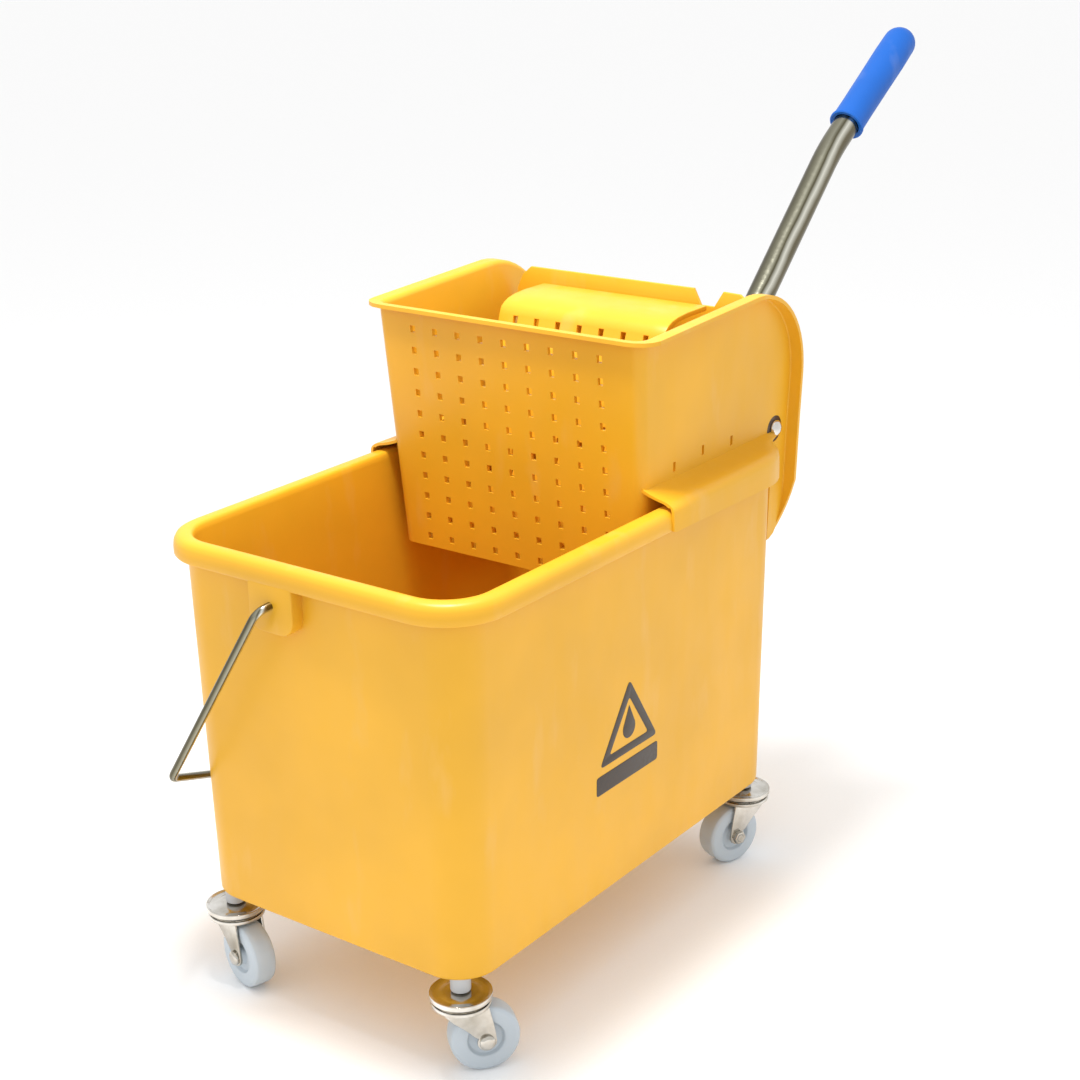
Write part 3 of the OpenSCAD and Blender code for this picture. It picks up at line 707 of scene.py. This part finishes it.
def press_plate():
    foot_y, foot_z, top_hole = 58.2, 224, 377
    lean = (111.6 - foot_y) / (378 - foot_z)
    rows = hole_edges([top_hole - j * PLATE_PITCH for j in range(PLATE_ROWS - 1, -1, -1)], HOLE_H)
    profile = [(foot_y + (z - foot_z) * lean, z) for z in [222] + rows]
    profile += [(113.2, 382), (115, 385.4), (118.6, 388), (124, 390.4), (132, 392), (145, 393), (158, 393),
                (172, 393)]
    middles = [i * 20.3 for i in range(-(PLATE_HOLES // 2), PLATE_HOLES // 2 + 1)]
    xs = [-PLATE_HALF] + hole_edges(middles, HOLE_W) + [PLATE_HALF]
    verts = [(x * (0.975 + 0.025 * min(1, (z - 222) / 160)), y, z) for y, z in profile for x in xs]
    n = len(xs)
    faces = []
    for i in range(len(profile) - 1):
        for j in range(n - 1):
            hole = i % 2 == 1 and i < 2 * PLATE_ROWS and j % 2 == 1
            if not hole:
                faces.append([i * n + j, i * n + j + 1, (i + 1) * n + j + 1, (i + 1) * n + j])
    sheet = mesh_from("press_sheet", verts, faces)
    # The sheet's faces look forward, so that it thickens to the rear.
    flip = bmesh.new()
    flip.from_mesh(sheet)
    if sum(f.normal.y * f.calc_area() for f in flip.faces) > 0:
        bmesh.ops.reverse_faces(flip, faces=flip.faces)
    flip.to_mesh(sheet)
    flip.free()
    sheet = thicken(sheet, PLATE_T, "press_sheet", 0.5)
    add_object("press_sheet", sheet, "press_plate", "yellow_plastic", "press_plate")
    barrel = moved(lathe(rounded([(4.1, -101.5), (7, -101.5), (7, 101.5), (4.1, 101.5)], 0.8)),
                   along((1, 0, 0), (0, HINGE_Y, HINGE_Z)))
    tracks = [plate(track_outline(), [], 10, 0.6, facing_x(s * 70)) for s in (-1, 1)]
    add_object("press_backing", joined("press_backing", [barrel] + tracks), "press_plate", "yellow_plastic")


PLATE_LEAN, PLATE_TURN, LEVER_TURN = 19.1, 20.0, 40.0
ARM_LEAN, ARM_LEN, ROLLER_R = 236.0, 116.0, 9.0


def roller_at(t):
    """The roller's centre seen from the press plate, (behind it, up it), at a share t of the stroke."""
    a = math.radians(PLATE_LEAN - PLATE_TURN * t)
    b = math.radians(ARM_LEAN + LEVER_TURN * t)
    y, z = SHAFT_Y - HINGE_Y + ARM_LEN * math.sin(b), SHAFT_Z - HINGE_Z + ARM_LEN * math.cos(b)
    return Vector((y * math.cos(a) - z * math.sin(a), y * math.sin(a) + z * math.cos(a)))


def track_outline():
    points = [(-4, 4)]
    for k in range(3, 21):
        t = k / 20
        d = (roller_at(t + 0.01) - roller_at(t - 0.01)).normalized()
        points.append(tuple(roller_at(t) + Vector((-d.y, d.x)) * (ROLLER_R + 0.8)))
    points.append((-4, 110))
    a = math.radians(PLATE_LEAN)
    return [(HINGE_Y + n * math.cos(a) + s * math.sin(a), HINGE_Z - n * math.sin(a) + s * math.cos(a))
            for n, s in points]


# ---- lever group ----

LEVER_X, LEVER_LEAN, GRIP_LEAN = 52.0, math.radians(46.8), math.radians(57.5)
BEND_S, BEND_RUN, GRIP_S, GRIP_L, TUBE_R, GRIP_R = 269.5, 16.0, 34.0, 125.0, 11.0, 14.3


def lever_point(s):
    """A point on the lever's centre line, s from the shaft, with the bend eased over a short run."""
    bend = BEND_RUN
    start = Vector((LEVER_X, SHAFT_Y, SHAFT_Z))
    first = Vector((0, math.sin(LEVER_LEAN), math.cos(LEVER_LEAN)))
    second = Vector((0, math.sin(GRIP_LEAN), math.cos(GRIP_LEAN)))
    knee = start + first * BEND_S
    if s <= BEND_S - bend:
        return start + first * s
    if s >= BEND_S + bend:
        return knee + second * (s - BEND_S)
    t = (s - BEND_S + bend) / (2 * bend)
    a, b = knee - first * bend, knee + second * bend
    return a * (1 - t) ** 2 + knee * 2 * t * (1 - t) + b * t * t


def lever_group():
    axis = Vector((0, math.sin(LEVER_LEAN), math.cos(LEVER_LEAN)))
    hub = moved(lathe(rounded([(7, -16), (11.5, -16), (11.5, 16), (7, 16)], 1)),
                along((1, 0, 0), (LEVER_X, SHAFT_Y, SHAFT_Z)))
    sleeve = moved(lathe(rounded([(0.01, 9), (14, 9), (14, 62), (11, 62), (11, 58), (0.01, 58)], 1)),
                   along(axis, (LEVER_X, SHAFT_Y, SHAFT_Z)))
    add_object("socket_casting", joined("socket_casting", [hub, sleeve]), "lever", "zinc_steel",
               "lever_socket")

    stations = [17, 60, 120, 180, 230] + [BEND_S - BEND_RUN + BEND_RUN / 4 * k for k in range(9)]
    stations.append(BEND_S + GRIP_S + 20)
    tube = sweep([lever_point(s) for s in stations], TUBE_R, 40)
    add_object("lever_pipe", joined("lever_pipe", [tube]), "lever", "chromed_steel", "lever_tube")

    grip_axis = Vector((0, math.sin(GRIP_LEAN), math.cos(GRIP_LEAN)))
    mouth = lever_point(BEND_S + GRIP_S)
    end = [(GRIP_R * math.cos(math.radians(a)), GRIP_L - GRIP_R + GRIP_R * math.sin(math.radians(a)))
           for a in range(0, 90, 9)]
    profile = [(TUBE_R, 3), (TUBE_R + 0.5, 0.6), (GRIP_R, 0), (GRIP_R + 1, 0.8), (GRIP_R + 1, 2.2),
               (GRIP_R, 3.2), (GRIP_R - 0.2, 20), (GRIP_R, 60), (GRIP_R + 0.3, 90)] + end + [(0.05, GRIP_L)]
    grip = moved(lathe(profile, 64), along(grip_axis, mouth))
    add_object("grip_sleeve", joined("grip_sleeve", [grip]), "lever", "blue_plastic", "lever_grip")

    shaft = moved(lathe(rounded([(0.01, -107.6), (7, -107.6), (7, 107.6), (0.01, 107.6)], 0.8)),
                  along((1, 0, 0), (0, SHAFT_Y, SHAFT_Z)))
    add_object("shaft_bar", joined("shaft_bar", [shaft]), "lever", "zinc_steel", "cross_shaft")

    washer = lathe(rounded([(5, 0), (11.6, 0), (11.6, 1.4), (10, 2.1), (5, 2.1)], 0.5))
    head = lathe(rounded([(0.01, 2), (6.6, 2), (6.6, 3.4), (5.6, 5.4), (3.2, 6.6), (0.01, 7)], 0.8))
    shank = lathe([(0.01, -20), (5, -20), (5, 2.2), (0.01, 2.2)])
    bolts, washers = [], []
    for s in (-1, 1):
        out = along((s, 0, 0), (s * (BOSS_X + 0.3), SHAFT_Y, SHAFT_Z))
        washers.append(moved(washer, out))
        bolts += [moved(head, out), moved(shank, out)]
    add_object("pivot_bolt_heads", joined("pivot_bolt_heads", bolts), "lever", "zinc_steel", "pivot_bolts")
    add_object("pivot_washer_rings", joined("pivot_washer_rings", washers), "lever", "zinc_steel",
               "pivot_washers", material="dark_steel")


# ---- printed pictogram on the tub's +X side ----

def side_mark():
    """A dark rounded triangle round a drop, over a plain bar."""
    apex, base, left, right, middle = 160.0, 103.0, -46.0, 28.0, -9.0

    def soft(corners, r):
        ring = []
        n = len(corners)
        for i in range(n):
            a, c, b = (Vector(corners[(i + k) % n]) for k in (-1, 0, 1))
            start, end = c + (a - c).normalized() * r, c + (b - c).normalized() * r
            ring += [tuple(start * (1 - t) ** 2 + c * 2 * t * (1 - t) + end * t * t)
                     for t in (0, 0.25, 0.5, 0.75, 1)]
        return ring

    triangle = soft([(left, base), (right, base), (middle, apex)], 5)
    opening = soft([(left + 12, base + 6.5), (right - 12, base + 6.5), (middle, apex - 13.5)], 3)
    drop = arc(middle, base + 19, 8, -200, 20, 11) + [(middle, base + 37)]
    bar = [(left - 4, base - 21), (right + 1, base - 21), (right + 1, base - 6), (left - 4, base - 6)]
    bar = soft(bar, 2.5)
    lean = math.atan(DRAFT / TUB_H)
    proud = 0.06
    out = TUB_HX - DRAFT + proud
    wall = Matrix.Translation((out, 0, 0)) @ Matrix.Rotation(lean, 4, "Y") @ facing_x(0)
    shapes = ((triangle, [opening]), (drop, []), (bar, []))
    parts = [plate(shape, holes, 0.3, 0.05, wall) for shape, holes in shapes]
    add_object("side_mark", joined("side_mark", parts), "tub", "grey_plastic", material="ink")


# ---- CAD nodes that stay as they are ----

def dress_cad_nodes():
    slots = {s["node"]: s["material_slot"] for s in frame["record"]["subparts"]}
    for node, obj in NODES.items():
        for slot in obj.material_slots:
            slot.material = MAT[slots[node]]


# ---- floor, light and camera ----

FLOOR_Z = AXLE_Z - 25.0
CAMERA_AT = (864.5, -1107.3, 735.7)
CAMERA_TURN, CAMERA_DOWN, CAMERA_ROLL, LENS = 36.6, 19.5, -1.051, 66.6


def floor():
    half = 30000
    corners = [(sx * half, sy * half, FLOOR_Z) for sx, sy in ((-1, -1), (1, -1), (1, 1), (-1, 1))]
    mesh = mesh_from("floor", corners, [[0, 1, 2, 3]])
    obj = bpy.data.objects.new("floor", mesh)
    bpy.context.scene.collection.objects.link(obj)
    mat, nodes, links, bsdf = new_material("floor_paper")
    paper = ramp(nodes, links, noise(nodes, links, 900, 2),
                 [(0.3, (0.96, 0.96, 0.96)), (0.7, (0.98, 0.98, 0.98))])
    links.new(paper, bsdf.inputs["Base Color"])
    bsdf.inputs["Roughness"].default_value = 0.9
    bsdf.inputs["Specular IOR Level"].default_value = 0.1
    mesh.materials.append(mat)


def area_light(name, where, target, size, watts):
    light = bpy.data.lights.new(name, "AREA")
    light.shape = "SQUARE"
    light.size = size
    light.energy = watts
    obj = bpy.data.objects.new(name, light)
    obj.location = where
    obj.rotation_euler = (Vector(target) - Vector(where)).to_track_quat("-Z", "Y").to_euler()
    bpy.context.scene.collection.objects.link(obj)


def lights():
    world = bpy.data.worlds.new("studio")
    world.use_nodes = True
    background = world.node_tree.nodes["Background"]
    background.inputs["Color"].default_value = (1.0, 1.0, 1.0, 1)
    background.inputs["Strength"].default_value = 0.99
    bpy.context.scene.world = world
    aim = (0, 0, 0.15)
    area_light("key", (-0.9, -2.0, 1.6), aim, 1.6, 1)
    area_light("top", (0.2, -0.4, 2.3), aim, 1.4, 2)
    area_light("over_bowl", (0.02, -0.18, 1.15), (-0.02, -0.12, 0.1), 0.2, 10)


def camera():
    a, e, r = (math.radians(v) for v in (CAMERA_TURN, CAMERA_DOWN, CAMERA_ROLL))
    back = Vector((math.sin(a) * math.cos(e), -math.cos(a) * math.cos(e), math.sin(e)))
    right = Vector((math.cos(a), math.sin(a), 0))
    up = back.cross(right)
    turned_right = right * math.cos(r) + up * math.sin(r)
    turned_up = up * math.cos(r) - right * math.sin(r)
    data = bpy.data.cameras.new("camera")
    data.lens = LENS
    data.sensor_width = 36
    obj = bpy.data.objects.new("camera", data)
    obj.matrix_world = basis(turned_right, turned_up, back, Vector(CAMERA_AT) * MM)
    bpy.context.scene.collection.objects.link(obj)
    bpy.context.scene.camera = obj


bpy.context.scene.view_settings.view_transform = "Standard"
dress_cad_nodes()
tub()
bail()
castor_sleeves()
for key in CASTORS:
    castor(key)
wringer_housing()
press_plate()
lever_group()
side_mark()
floor()
lights()
camera()
